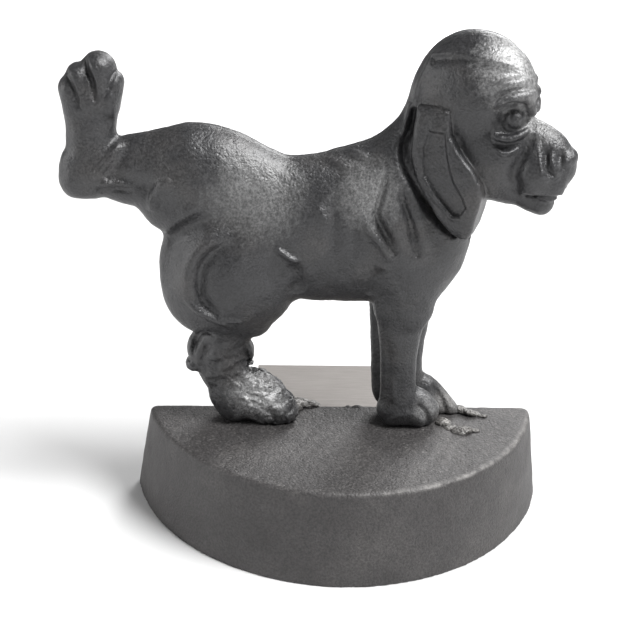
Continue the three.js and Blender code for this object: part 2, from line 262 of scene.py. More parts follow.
def fore_legs(clay):
    # Both shoulders, then the right leg with its paw, and the left leg, which reaches further forward.
    for side in (-1, 1):
        clay.limb([(16, 124, 6, 14, 9.4), (18.5, 112, 6.6, 14.6, 9.2), (20.6, 100, 6.2, 13, 7.6),
                   (21.2, 90, 5.6, 11.6, 6)], 3, side)
    clay.limb([(20.6, 92, 5.7, 11.4, 6), (20.3, 83, 5.4, 9.2, 5.2), (20.4, 74, 5.2, 7.9, 4.9),
               (20.6, 64, 5.2, 7.2, 4.8), (21.2, 54, 5.2, 7.2, 4.8), (21.4, 46, 5.3, 7.6, 5)], 1.5, -1)
    clay.limb([(19.5, 44, 5.3, 6.4, 5.1), (26, 46, 5.3, 8.6, 5.4), (32, 43.4, 5.2, 6.8, 5.1)], 1.5, -1)
    clay.limb([(21.6, 92, 5.6, 13.4, 6), (21.4, 80, 5.4, 12, 5.2), (21.2, 70, 5.2, 11, 5),
               (21.4, 60, 5.2, 10.6, 5), (22.4, 51, 5.3, 10.8, 5.1)], 1.5)
    clay.limb([(21, 47, 5.3, 8.6, 5.1), (30, 46.6, 5.3, 9, 5.3), (38, 42.6, 5.3, 6.6, 5.2),
               (44.4, 39.4, 5.3, 3.6, 4.4), (47.4, 37.8, 5.3, 2, 3.4)], 1.5)


def hound_head(clay):
    # The skull, the brow and the cheeks.
    clay.place = clay.head
    clay.lump(41.3, 0, 171.9, 21.5, 14.6, 22.2, 4)
    clay.lump(52, 0, 173.2, 10.6, 12.6, 14, 3)
    clay.lump(49.5, 0, 152.5, 14.4, 12.8, 17.2, 4)
    # The muzzle is a wedge, flat on top, with lips that hang at both sides and a small chin below.
    clay.limb([(50, 151.5, 0, 15.6, 12), (58, 151.8, 0, 14.8, 10.6), (65.5, 151.2, 0, 12.8, 9.2),
               (70.6, 149.7, 0, 9.6, 7.8), (73.4, 150.2, 0, 6.5, 6.4)], 2)
    clay.lump(76.5, 0, 153.3, 3.8, 5.4, 3.4, 1)
    clay.limb([(47, 143, 0, 8, 9.5), (56, 141, 0, 6.9, 7.6), (62, 139.9, 0, 6.2, 6.2),
               (67, 137.5, 0, 5.6, 5.4), (69.5, 136, 0, 4.8, 5)], 0.8)
    for side in (-1, 1):
        clay.lump(66.2, side * 5.4, 147.8, 9, 6.4, 8.8, 1.5)
        clay.lump(72.2, side * 4, 144.2, 5.8, 5, 6.5, 1.5)
        clay.lump(75.4, side * 3.8, 151.6, 3.4, 3, 3.6, 0.8)
        # Brows, the hood over the eye, the eye in its socket, the lid and the pouch under it.
        clay.limb([(49.4, 174.4, 12.8, 1.4, 1.3), (52, 176.8, 12.3, 2, 2.2), (55.2, 178.4, 11, 2.3, 2.8),
                   (58.2, 178.6, 8.4, 2.3, 2.9), (60.6, 178.2, 4.4, 2.1, 2.4)], 1, side)
        clay.limb([(52, 170.8, 13, 1.2, 1.4), (54.8, 173, 12.8, 1.9, 2.5), (58.2, 174.2, 10.8, 2.1, 3.1),
                   (60.8, 174.2, 7.8, 2.3, 3), (61.9, 174.1, 3.8, 2.3, 2.5)], 0.8, side)
        clay.limb([(61.6, 173, 7.6, 1.3, 2), (62.6, 170.6, 6, 1.7, 2.2), (63, 168.6, 3.8, 1.9, 2.2)],
                  0.8, side)
        clay.hollow(58, side * 13.6, 167, 6, 6.2, 5.4, 2)
        clay.lump(57.6, side * 6.6, 166, 3.6, 3.8, 3.8, 1.2)
        clay.limb([(52, 163.4, 11, 0.8, 1.2), (52.5, 160.6, 11.3, 1.2, 1.7), (55.2, 159.9, 11.2, 1.4, 2.2),
                   (58.3, 159.9, 10.2, 1.5, 2.4), (60.8, 161, 8.4, 1.4, 2.2), (62.6, 162.4, 6.4, 1, 1.6)],
                  0.6, side)
        clay.limb([(52.8, 156.8, 11, 0.8, 1.3), (55.2, 155, 11.4, 1.2, 1.9), (57.5, 154.8, 10.8, 1.2, 2),
                   (60.2, 156.2, 9.2, 0.8, 1.4)], 0.6, side)
    clay.place = clay.body


EAR_OUTLINE = [(25, 168.4), (32.5, 169), (37.2, 168.2), (37.4, 164), (38, 158.8), (40, 154.8),
               (43.8, 150.6), (47.6, 147), (50.2, 143), (51, 138.6), (50.2, 133.5), (48.6, 125.6),
               (46.8, 121.6), (44.2, 121.4), (40.8, 123.3), (35.8, 128.5), (31, 135.6), (26.9, 142.6),
               (24.2, 150.8), (24.4, 161)]


def ears(clay):
    clay.place = clay.head
    # The gap behind the ear, deep and wide, and the band of neck beside it.
    clay.stroke([(22.6, 167), (21.6, 160), (20.2, 153.6), (21.8, 147.2), (25.2, 141.4), (28.8, 135.4),
                 (32.8, 129.7), (36.9, 124.6), (41.4, 120.4)], -3.4, (2.6, 2.2), fade=0.1, lean=0.7)
    clay.stroke([(20.8, 168), (20.6, 162), (20.4, 157)], 1.4, 1.1)
    index = clay.pick((12, -30, 114), (60, 30, 178))
    x, y, z = (p[index] for p in clay.place)
    drawn_back = np.where(y > 0, 7 * np.clip((168 - z) / 40, 0, 1), 0)
    outline = outline_distance(x + drawn_back, z, EAR_OUTLINE)
    height = np.interp(z, [121, 130, 145, 158, 169], [12.8, 14.8, 16.1, 16, 15])
    crown = np.clip(-outline / 3, 0, 1) ** 0.5
    slab = np.abs(y) - height - 0.9 * crown
    edge = np.interp(z, [160, 168], [1.1, 2.6])
    ear = np.minimum(np.maximum(outline, slab), -edge) + np.hypot(
        np.maximum(outline + edge, 0), np.maximum(slab + edge, 0)
    )
    clay.join(index, ear, 0.5)
    clay.terrace([(30, 160.4), (28.8, 153.5), (29.8, 144.7), (33.6, 138.6), (37.2, 134.9), (41.3, 130.9),
                  (44, 131.2), (45.8, 134.5), (43.8, 138.8), (41, 142.5), (38.9, 147.5), (37.2, 153.7),
                  (36, 160)], -1.7, 1.6)
    clay.stroke([(30.2, 144), (33.6, 138.4), (37.2, 134.5), (41, 130.4), (44.4, 130.6)], 0.8, 1.0, fade=0.3)
    clay.stroke([(46.4, 135), (44.6, 139), (42.2, 142.6)], 0.4, 1.0)
    clay.stroke([(29.6, 166), (29.2, 160), (28.6, 153)], -0.5, 1.4)
    clay.stroke([(38, 159), (40.2, 155), (44, 150.6), (47.4, 147)], 0.7, 1.0, fade=0.15)
    clay.place = clay.body


def face(clay):
    clay.place = clay.head
    clay.stroke([(48.6, 179.4), (52.2, 181), (55.6, 181.6), (59, 180.8)], -0.5, 1.4, fade=0.5)
    clay.stroke([(47, 183), (51, 184.8), (55, 185)], 0.4, 1.5, fade=0.5)
    clay.stroke([(52.8, 158.2), (56.3, 157.4), (59.7, 158), (62.1, 159.6)], -0.8, 1.1)
    clay.stroke([(50.6, 168), (50.2, 164), (50.8, 160)], -0.6, 1.8)
    # The lip: the fold in front of the cheek, the folds beside the nose, the nostril and the mouth.
    clay.stroke([(64.2, 161.4), (63.4, 156.1), (61.6, 151.2), (60.6, 147.1), (61.8, 144), (64.4, 142)],
                -1.9, (1.8, 2.4), fade=0.2)
    clay.stroke([(66, 159), (68.2, 155), (69.6, 151.4), (70.7, 147.6), (72.2, 145.8)], 0.7, 1.1)
    clay.stroke([(70, 158), (70.4, 153.8), (71.4, 150.8), (73.4, 148)], -1.3, 1.2)
    clay.stroke([(71.6, 156.4), (72.6, 153.4), (74.2, 150.6), (76, 147.8)], 0.7, 0.9)
    clay.stroke([(74.6, 156.4), (75, 153.6), (76.8, 151), (78.4, 151)], -1.0, 1.1, inner=1)
    clay.stroke([(64, 139.6), (68, 139.7), (72, 139.9), (77, 140.4)], -1.0, 0.8, fade=0.1, inner=-3)
    # Skull: the ridge that runs from the back of the head to the brow, and the dip under it.
    clay.stroke([(26, 185.2), (32, 186.2), (38, 186.5), (44.1, 186.1), (50.7, 185.3), (56, 183.9)], 0.8, 1.0,
                fade=0.1, lean=0.3)
    clay.stroke([(27, 183), (33, 184.4), (39, 184.6), (46, 184)], -0.5, 1.8, fade=0.2)
    clay.stroke([(39.6, 184), (41, 178), (41.4, 170)], 0.3, 3.2)
    clay.place = clay.body


def muscles(clay):
    # Neck: the band down its back, and the folds of loose skin behind the ear.
    clay.stroke([(25, 187), (21.6, 181), (19.4, 172), (18.6, 165)], 0.7, 1.4, fade=0.15)
    clay.stroke([(10.6, 146), (9.3, 138.2), (7.9, 133.4), (7.2, 128.8), (9.6, 124.2), (12.2, 120),
                 (14.8, 114.5)], -2.4, (1.5, 2.0), fade=0.25, lean=0.2)
    clay.stroke([(15.2, 141), (17.0, 133), (19.4, 127), (21.3, 120.9), (23.2, 113.5)], -2.1, (1.4, 1.8),
                fade=0.3)
    clay.stroke([(13, 142), (12.4, 134), (12.4, 127), (16.4, 118)], 0.7, 2.4)
    clay.stroke([(20.4, 141), (22, 133), (25, 124), (27.5, 116)], 0.6, 2.4)
    # Shoulder: the fold behind it, and the ribs.
    clay.stroke([(1.3, 131.5), (4.3, 125), (8.7, 119.2), (13.8, 112)], 1.4, (1.3, 1.8), lean=-0.2)
    clay.stroke([(-0.6, 129), (2.2, 122.5), (6.5, 116.5), (11, 111)], -0.6, 2.6)
    clay.stroke([(-8.4, 136), (-8, 126), (-7.8, 114)], -1.0, 2.4)
    clay.stroke([(-0.4, 128), (-0.2, 120.5), (0.1, 112.5)], -0.6, 2.0)
    clay.stroke([(-14.6, 132.5), (-12.4, 128.4), (-10.4, 125)], 1.0, 1.8)
    clay.stroke([(9.8, 109), (8.4, 103), (7, 96)], -1.2, 2.2)
    # Withers and back.
    clay.stroke([(-6.6, 152.2), (-1.7, 150.4), (3.4, 149.2)], 0.6, 1.2, inner=3.5)
    clay.stroke([(-7, 149.8), (-1, 147.8), (4.5, 146.8)], -0.8, 1.5, inner=3.5)
    clay.stroke([(-14, 149.2), (-8.4, 147), (-2.4, 145)], 0.7, 1.2, inner=3.5)
    clay.stroke([(-29, 145.6), (-20, 145.4), (-12, 146), (-3, 144.4)], -0.6, 2.0, inner=4)
    # Groin and thigh: three crescents of muscle, one inside the other.
    clay.stroke([(-28.8, 116.2), (-24.6, 113), (-20.4, 110.4)], 1.9, (1.1, 1.4), lean=-0.3)
    clay.stroke([(-22.6, 109.6), (-20.6, 104), (-20.8, 96)], -1.8, 2.4)
    clay.stroke([(-66.4, 140.8), (-70.7, 138.4), (-73.8, 134), (-75, 127.5)], 1.6, 1.9, lean=0.35)
    clay.stroke([(-57, 130.6), (-61.5, 127.8), (-66.2, 124.2), (-70.4, 118.5)], 1.1, 2.2, lean=-0.2)
    clay.stroke([(-48, 129), (-56, 125), (-62, 120), (-66, 114.5), (-68, 106), (-68, 98)], -1.7, (3.2, 3.6))
    clay.stroke([(-45.6, 121.6), (-51.4, 119), (-56.8, 115.4), (-60.6, 109.8), (-62.4, 102.5), (-62.6, 94)],
                1.4, (2.4, 2.8), lean=-0.25)
    clay.stroke([(-43, 117), (-49.6, 115), (-54.8, 110), (-57, 103), (-56.8, 96.5), (-54, 92),
                 (-49.6, 89)], -2.6, (3.4, 2.2), lean=0.35, fade=0.3)
    clay.stroke([(-62.8, 95.4), (-59.5, 91.6), (-54.6, 88.2), (-49.9, 85.8), (-44.6, 82.4)], 1.4, 1.3,
                lean=0.3)
    clay.stroke([(-47.5, 86.8), (-44.5, 86.2), (-41.5, 85.6)], 0.9, 0.8)
    clay.hollow(-46.5, -24, 129, 9, 10.5, 12, 6)
    # Raised leg: the crease in front of the hock, the tendon under the shin, and the toes.
    clay.stroke([(-95, 139.4), (-91.8, 143), (-87.3, 148.6), (-84.6, 153.2)], 1.3, (1.5, 1.7), lean=-0.3)
    clay.stroke([(-90.6, 139), (-86.6, 143.4), (-82.4, 148), (-79, 151)], -1.3, 2.8)
    clay.stroke([(-94, 137.0), (-87, 137.6), (-80.2, 136.4)], 1.2, 1.0, lean=0.2)
    clay.stroke([(-94, 134.8), (-87, 135), (-80.5, 134)], -0.9, 1.2)
    clay.stroke([(-88, 140), (-80, 137.6), (-72, 137.6)], -1.3, 3.2)
    clay.stroke([(-76, 136), (-73.4, 133), (-70, 130.6)], -0.8, 2.4)
    clay.stroke([(-88.2, 171), (-86.9, 163), (-87.2, 156)], 0.7, 1.6, inner=0)
    clay.stroke([(-102.6, 177), (-100.3, 172.4), (-98.6, 168), (-98, 163.4)], -1.4, 0.9, fade=0.35, inner=0,
                lean=-0.3)
    clay.stroke([(-96.6, 183), (-94.8, 177.6), (-93, 172.4), (-92.6, 166)], -2.0, 1.1, fade=0.35, inner=0)
    clay.stroke([(-86, 177), (-87.2, 172.4), (-89, 168)], -1.0, 1.0, fade=0.35, inner=0)
    # Standing hind leg: the crease at the back of the hock, and the toes.
    clay.stroke([(-52, 79), (-56.4, 77.6), (-59, 73.8), (-61, 68)], -2.2, 1.0, lean=-0.3, inner=0)
    clay.stroke([(-54, 74), (-56.6, 68), (-56.8, 62)], -1.0, 1.6, inner=0)
    clay.stroke([(-35.9, 43), (-33.3, 38.6)], -0.9, 0.9, fade=0.3, inner=0)
    clay.stroke([(-29.9, 46), (-27.6, 38.6)], -1.0, 1.0, fade=0.3, inner=0)
    # Fore paws: the bulging outer toe, and the slots between toes.
    clay.terrace([(15, 36), (17, 41), (20.5, 45), (24.5, 46.1), (28.2, 45), (30.2, 43.2), (31.8, 41),
                  (32.6, 36)], 0.9, 2.2, sides=(-1,), inner=0)
    clay.stroke([(27.4, 48.6), (30.4, 47), (32.8, 44), (34, 39)], -1.0, 1.2, sides=(-1,), inner=0)
    clay.stroke([(36, 50.6), (39.6, 46), (42.4, 41), (43, 37)], -1.3, 1.3, sides=(1,), inner=-4)
    clay.stroke([(15.4, 76), (16.6, 64), (16.8, 52)], -0.6, 1.2, sides=(-1,), inner=1)
    clay.stroke([(18, 60), (18.6, 54), (18.8, 49)], 0.5, 1.2, sides=(-1,), inner=1)
    clay.lump(43.4, -2.5, 119.2, 1.8, 1.6, 0.5, 0.3)


BROKEN_SKIN = [(-43.5, 64), (-45, 57), (-43, 51), (-39, 46), (-36.5, 41), (-34, 36), (-16, 36),
               (-16, 46), (-26, 54), (-32, 60), (-38, 66)]


def unevenness(clay):
    near = np.flatnonzero(np.abs(clay.skin) < 4)
    x, y, z = (p[near] for p in clay.body)
    clay.skin[near] += 0.13 * waviness(x, y, z, 9, 4) + 0.06 * waviness(x, y, z, 3.2, 5)
    # The instep of the standing hind leg is rough, where the mould broke away and the iron ran.
    rough = np.clip(0.5 - outline_distance(x, z, BROKEN_SKIN) / 4, 0, 1)
    crumbs = np.abs(waviness(x, y, z, 3.6, 9)) + 0.8 * np.abs(waviness(x, y, z, 2.4, 12))
    clay.skin[near] += rough * (0.55 * waviness(x, y, z, 6.5, 8) + 0.75 * crumbs - 0.55)
    torn = np.clip(1.2 - np.hypot(x + 50, z - 64) / 15, 0, 1)
    shreds = 0.55 * waviness(x, y, z, 5, 14) + 0.3 * waviness(x, y, z, 2.6, 15)
    clay.skin[near] += torn * shreds


def hound(points):
    clay = Clay(points)
    trunk(clay)
    raised_leg(clay)
    standing_hind_leg(clay)
    fore_legs(clay)
    hound_head(clay)
    ears(clay)
    face(clay)
    muscles(clay)
    unevenness(clay)
    return clay


def rounded_cut(skin, cut, radius):
    """The skin cut off where cut is above 0, with the new edge rounded to the given radius."""
    corner = np.hypot(np.maximum(skin + radius, 0), np.maximum(cut + radius, 0))
    return np.minimum(np.maximum(skin, cut), -radius) + corner


def post(points, x, z, radius, low, high):
    """Distance to a round bar that runs across the figure."""
    away = np.hypot(points[:, 0] - x, points[:, 2] - z) - radius
    return np.maximum(away, np.maximum(low - points[:, 1], points[:, 1] - high))


def dog_half(points, side):
    """Distance to one half's skin: cut along the seam, cored out inside, and bored for the screws."""
    clay = hound(points)
    blend = np.clip((clay.z - COLLAR_Z) / 3 + 0.5, 0, 1) * (clay.x > TURN_X)
    across = clay.y * (1 - blend) + clay.head[1] * blend
    skin = rounded_cut(clay.skin, GAP / 2 - side * across, 0.4)
    skin = rounded_cut(skin, SOLE_Z - clay.z, 0.4)
    core = Clay(points)
    core.limb([(-44, 125, 0, 11, 8), (-25, 119.5, 0, 15, 8.5), (-4, 119.5, 0, 16, 8.5),
               (10, 123, 0, 14, 8.5)], 1)
    skin = np.maximum(skin, -core.skin)
    for name in ("shoulder_screw", "haunch_screw"):
        low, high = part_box(name)
        x, z = (low.x + high.x) / 2 / MM, (low.z + high.z) / 2 / MM
        head_y = high.y / MM - SEAM_Y
        tip_y = low.y / MM - SEAM_Y - GAP
        skin = rounded_cut(skin, -post(points, x, z, HEAD_HOLE_RADIUS, head_y - HEAD_SEAT, HALF_DEPTH), 0.3)
        skin = np.maximum(skin, -post(points, x, z, SHANK_HOLE_RADIUS, tip_y, HALF_DEPTH))
    return skin


def cast(name, shape, low, high, size):
    """A fine closed mesh of a shape, found on a grid of points this size apart and then trued up."""
    split = 4
    band = 3 * size
    nudge = 0.15
    low, high = np.array(low, float), np.array(high, float)
    coarse = split * size
    count = np.ceil((high - low) / coarse).astype(int) + 1
    axes = [low[i] + coarse * np.arange(count[i]) for i in range(3)]
    grid = np.stack(np.meshgrid(*axes, indexing="ij"), -1).reshape(-1, 3)
    rough = shape(grid).reshape(count)
    fine = np.repeat(np.repeat(np.repeat(rough, split, 0), split, 1), split, 2)
    fine = np.clip(fine, -band, band)
    blocks = np.argwhere(np.abs(rough) < 2.2 * coarse)
    step = np.stack(np.meshgrid(*[np.arange(split)] * 3, indexing="ij"), -1).reshape(-1, 3)
    cells = (blocks[:, None, :] * split + step[None]).reshape(-1, 3)
    fine[tuple(cells.T)] = np.clip(shape(low + cells * size), -band, band)
    volume = openvdb.FloatGrid(band)
    volume.copyFromArray(fine.astype(np.float32))
    points, quads = volume.convertToQuads(isovalue=0.0)
    points = low + np.asarray(points, float) * size
    for _ in range(2):
        here = shape(points)
        slope = np.stack([shape(points + nudge * axis) - here for axis in np.eye(3)], -1) / nudge
        steep = np.maximum((slope**2).sum(1), 0.3)
        points += np.clip(-(here / steep)[:, None] * slope, -0.4 * size, 0.4 * size)
    mesh = bpy.data.meshes.new(name)
    mesh.from_pydata((points * MM).tolist(), [], np.asarray(quads).tolist())
    mesh.validate()
    skin = bmesh.new()
    skin.from_mesh(mesh)
    bmesh.ops.recalc_face_normals(skin, faces=skin.faces)
    skin.to_mesh(mesh)
    skin.free()
    mesh.shade_smooth()
    piece = bpy.data.objects.new(name, mesh)
    bpy.context.scene.collection.objects.link(piece)
    return piece


def added(tree, kind, **settings):
    """A new node, its properties and unlinked inputs set by name, or joined when given a socket."""
    node = tree.nodes.new(kind)
    for name, value in settings.items():
        if hasattr(node, name) and not isinstance(value, bpy.types.NodeSocket):
            setattr(node, name, value)
            continue
        socket = node.inputs[name.replace("_", " ")]
        if isinstance(value, bpy.types.NodeSocket):
            tree.links.new(value, socket)
        else:
            socket.default_value = value
    return node


def maths(tree, operation, *operands):
    """The result of a maths node whose operands are sockets or plain numbers."""
    node = added(tree, "ShaderNodeMath", operation=operation)
    for socket, operand in zip(node.inputs, operands):
        if isinstance(operand, bpy.types.NodeSocket):
            tree.links.new(operand, socket)
        else:
            socket.default_value = operand
    return node.outputs[0]


def mapped(tree, value, low, high, first=0.0, last=1.0):
    """A value's range from low to high turned into first to last, and held there past both ends."""
    node = added(tree, "ShaderNodeMapRange", Value=value, From_Min=low, From_Max=high,
                 To_Min=first, To_Max=last)
    return node.outputs["Result"]


def mottling(tree, place, scale, detail, roughness):
    """Soft noise, most of it between 0.3 and 0.7."""
    node = added(tree, "ShaderNodeTexNoise", Vector=place, Scale=scale, Detail=detail, Roughness=roughness)
    return node.outputs["Fac"]


def ramp(tree, share, stops):
    """A colour ramp through (position, colour) stops."""
    node = added(tree, "ShaderNodeValToRGB", Fac=share)
    for element, (place, colour) in zip(node.color_ramp.elements, (stops[0], stops[-1])):
        element.position, element.color = place, (*colour, 1)
    for place, colour in stops[1:-1]:
        node.color_ramp.elements.new(place).color = (*colour, 1)
    return node.outputs["Color"]


def blended(tree, share, under, over, how="MIX"):
    """One colour laid over another by a share."""
    node = added(tree, "ShaderNodeMixRGB", blend_type=how, Fac=share, Color1=under, Color2=over)
    return node.outputs["Color"]


def new_group(name, kind, wanted, made):
    """A node group with its sockets as {name: type}, and the sockets at both of its ends."""
    tree = bpy.data.node_groups.new(name, kind)
    for way, sockets in (("INPUT", wanted), ("OUTPUT", made)):
        for label, sort in sockets.items():
            tree.interface.new_socket(label, in_out=way, socket_type="NodeSocket" + sort)
    return tree, tree.nodes.new("NodeGroupInput").outputs, tree.nodes.new("NodeGroupOutput").inputs


def new_finish(name):
    """A material, its nodes, its shader and the place on the piece."""
    material = bpy.data.materials.new(name)
    material.use_nodes = True
    tree = material.node_tree
    return material, tree, tree.nodes["Principled BSDF"], added(tree, "ShaderNodeTexCoord").outputs["Object"]


# Sand grain: the fine speckle and soft swell that a sand mould leaves, as a height and a patchiness.
grain, asked, given = new_group("sand_grain", "ShaderNodeTree", {"Place": "Vector", "Coarseness": "Float"},
                                {"Height": "Float", "Speckle": "Float", "Patches": "Float"})
speckle = mottling(grain, asked["Place"], 1200.0, 3.0, 0.6)
swell = mottling(grain, asked["Place"], 300.0, 4.0, 0.55)
pits = added(grain, "ShaderNodeTexVoronoi", Vector=asked["Place"], Scale=520.0, Randomness=1.0)
pit_rims = mapped(grain, pits.outputs["Distance"], 0.05, 0.35)
swelling = maths(grain, "MULTIPLY", swell, asked["Coarseness"])
speckled = maths(grain, "MULTIPLY_ADD", speckle, 0.5, swelling)
grain.links.new(maths(grain, "MULTIPLY_ADD", pit_rims, 0.22, speckled), given["Height"])
grain.links.new(speckle, given["Speckle"])
grain.links.new(mottling(grain, asked["Place"], 45.0, 5.0, 0.6), given["Patches"])


# Bare metal and painted highlights: how much of the dark skin gives way to a paler shade, most at one spot
# and ragged towards its edge.
bare_and_highlight_group, asked, given = new_group("bare_metal_and_highlights", "ShaderNodeTree",
                                {"Place": "Vector", "Spot": "Vector", "Reach": "Float"}, {"Share": "Float"})
away = added(bare_and_highlight_group, "ShaderNodeVectorMath", operation="DISTANCE")
bare_and_highlight_group.links.new(asked["Place"], away.inputs[0])
bare_and_highlight_group.links.new(asked["Spot"], away.inputs[1])
spot_share = maths(bare_and_highlight_group, "DIVIDE", away.outputs["Value"], asked["Reach"])
ragged = maths(bare_and_highlight_group, "SUBTRACT", mottling(bare_and_highlight_group, asked["Place"], 380.0, 6.0, 0.7), spot_share)
bare_and_highlight_group.links.new(mapped(bare_and_highlight_group, ragged, -0.35, 0.25), given["Share"])


def cast_metal(name, shades, gloss, coarseness, bump, metallic=0.25, bare_and_highlights=()):
    """A cast metal: patchy shades and gloss, a sandy skin, and pale spots as (spot, reach, shade), some bare
    metal and some painted highlights.
    """
    material, tree, shader, place = new_finish(name)
    sand = added(tree, "ShaderNodeGroup", node_tree=grain, Place=place, Coarseness=coarseness)
    stops = [(0.32 + 0.36 * i / (len(shades) - 1), shade) for i, shade in enumerate(shades)]
    colour = ramp(tree, sand.outputs["Patches"], stops)
    for spot, reach, shade in bare_and_highlights:
        patch = added(tree, "ShaderNodeGroup", node_tree=bare_and_highlight_group, Place=place, Spot=[v * MM for v in spot],
                      Reach=reach * MM)
        colour = blended(tree, patch.outputs["Share"], colour, (*shade, 1))
    flecks = ramp(tree, sand.outputs["Speckle"], [(0.36, (0.62, 0.62, 0.62)), (0.64, (1.5, 1.5, 1.5))])
    tree.links.new(blended(tree, 1.0, colour, flecks, "MULTIPLY"), shader.inputs["Base Color"])
    tree.links.new(mapped(tree, sand.outputs["Speckle"], 0.3, 0.7, *gloss), shader.inputs["Roughness"])
    shader.inputs["Metallic"].default_value = metallic
    shader.inputs["Specular IOR Level"].default_value = 0.85
    relief = added(tree, "ShaderNodeBump", Height=sand.outputs["Height"], Strength=bump, Distance=0.0008)
    tree.links.new(relief.outputs["Normal"], shader.inputs["Normal"])
    return material


IRON_SHADES = [(0.022, 0.022, 0.024), (0.031, 0.031, 0.033), (0.046, 0.044, 0.044)]
INSTEP = ((-34, -20, 51), 17, (0.3, 0.3, 0.3))
FORE_PAWS = [((33, -18, 46), 9, (0.15, 0.15, 0.15)), ((45, -10, 44), 12, (0.2, 0.195, 0.19))]
RUST_AT_TOES = ((41, -15, 39), 4, (0.16, 0.09, 0.05))
# Painted highlights: pale spots on the forehead, the muzzle top, the haunch and the shoulder, where the lamps
# catch the iron.
FOREHEAD_HIGHLIGHT = ((50, -23, 182), 18, (0.28, 0.28, 0.28))
MUZZLE_HIGHLIGHT = ((62, -24, 163), 12, (0.13, 0.13, 0.13))
HAUNCH_HIGHLIGHT = ((-36, -22, 137), 24, (0.14, 0.14, 0.14))
SHOULDER_HIGHLIGHT = ((4, -24, 138), 18, (0.16, 0.16, 0.16))
iron = cast_metal("grey_iron", IRON_SHADES, (0.34, 0.52), 0.45, 0.55,
                  bare_and_highlights=[INSTEP, *FORE_PAWS, RUST_AT_TOES, FOREHEAD_HIGHLIGHT, MUZZLE_HIGHLIGHT, HAUNCH_HIGHLIGHT, SHOULDER_HIGHLIGHT])
for node, side in (("right_body_casting", -1), ("left_body_casting", 1)):
    offset = np.array([0, SEAM_Y, 0])
    low = (-113, SEAM_Y - (37 if side < 0 else 26), SOLE_Z - 2)
    high = (90, SEAM_Y + (3 if side < 0 else 21), 200)
    name = node.replace("_casting", "_half")
    piece = cast(name, lambda p: dog_half(p - offset, side), low, high, MESH_SIZE)
    piece.data.materials.append(iron)
    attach(piece, "root")
    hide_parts(node)


# The base: a half-moon box in the same grey iron, open underneath, with its flat side to the door.
# Its walls lean in a little so that it came out of the sand, and its top is rougher than its walls.
# Inside, round pads as high as the tab's slot stand round the screws that hold the wedge.
BASE_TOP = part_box("base_casting")[1].z / MM
BASE_RADIUS = 82.79
BASE_CENTRE_Y = 17.49
HALF_CHORD = 79.9
CHORD_SHIFT = 0.3
FRONT_LEAN = 5.9
END_LEAN = 7.4
BACK_LEAN = 1.2
RIM_ROUND = 1.5
BACK_ROUND = 3.4
BASE_WALL = 6.0
PAD_RADIUS = 7.0
TAB_SLOT_HALF = 36.8
TAB_SLOT_TOP = 8.3
RIM_BITS = [(-4.5, -62.6, 36.6, 1.5, 1.0, 0.9), (6.4, -1.2, 37.4, 2.4, 0.9, 0.6),
            (2.6, -1.0, 37.4, 1.2, 0.8, 0.5), (-12.5, -62.0, 36.9, 2.2, 0.8, 0.5)]
WALL_PITS = [(-48.5, -50.6, 12.0, 1.0), (-47.9, -51.6, 9.2, 0.7), (33.0, -58.0, 22.0, 0.6)]
WEDGE_SCREWS = ("tail_side_wedge_screw", "head_side_wedge_screw")


def base_shape(points):
    x, y, z = points.T
    down = 1 - z / BASE_TOP
    front = np.hypot(x, y - BASE_CENTRE_Y) - (BASE_RADIUS + FRONT_LEAN * down)
    back = y - BACK_LEAN * down
    ends = np.abs(x + CHORD_SHIFT) - (HALF_CHORD + END_LEAN * down)
    skin = rounded_cut(rounded_cut(front, ends, RIM_ROUND), back, BACK_ROUND)
    skin = rounded_cut(skin, z - BASE_TOP, RIM_ROUND)
    near = np.clip(1 - np.abs(skin) / 4, 0, 1)
    uneven = 0.16 * waviness(x, y, z, 22, 21) + 0.09 * waviness(x, y, z, 8, 22)
    uneven += np.clip((z - BASE_TOP + 3) / 3, 0, 1) * 0.07 * waviness(x, y, z, 4, 23)
    skin = rounded_cut(skin + near * uneven, -z, 0.3)
    for bx, by, bz, rx, ry, rz in RIM_BITS:
        skin = np.minimum(skin, egg_distance(x - bx, y - by, z - bz, rx, ry, rz))
    for bx, by, bz, r in WALL_PITS:
        skin = np.maximum(skin, r - np.sqrt((x - bx) ** 2 + (y - by) ** 2 + ((z - bz) / 1.8) ** 2))
    inside = rounded_cut(front + BASE_WALL, back + BASE_WALL, 6)
    inside = rounded_cut(inside, z - BASE_TOP + BASE_WALL, 3)
    for name in WEDGE_SCREWS:
        low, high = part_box(name)
        away = np.hypot(x - (low.x + high.x) / 2 / MM, y - (low.y + high.y) / 2 / MM)
        inside = np.maximum(inside, np.minimum(PAD_RADIUS - away, TAB_SLOT_TOP - z))
        skin = np.maximum(skin, np.minimum(SHANK_HOLE_RADIUS - away, high.z / MM + 1 - z))
    skin = np.maximum(skin, -inside)
    slot = np.maximum(np.maximum(np.abs(x) - TAB_SLOT_HALF, z - TAB_SLOT_TOP), -BASE_WALL - 2 - y)
    return np.maximum(skin, -slot)


BASE_SHADES = [(0.034, 0.031, 0.031), (0.045, 0.042, 0.042), (0.062, 0.058, 0.057)]
# Shade of the painted highlights on the base's rim and top.
HIGHLIGHT_SHADE = (0.26, 0.25, 0.24, 1)
base_iron = cast_metal("base_iron", BASE_SHADES, (0.5, 0.66), 0.8, 0.6)
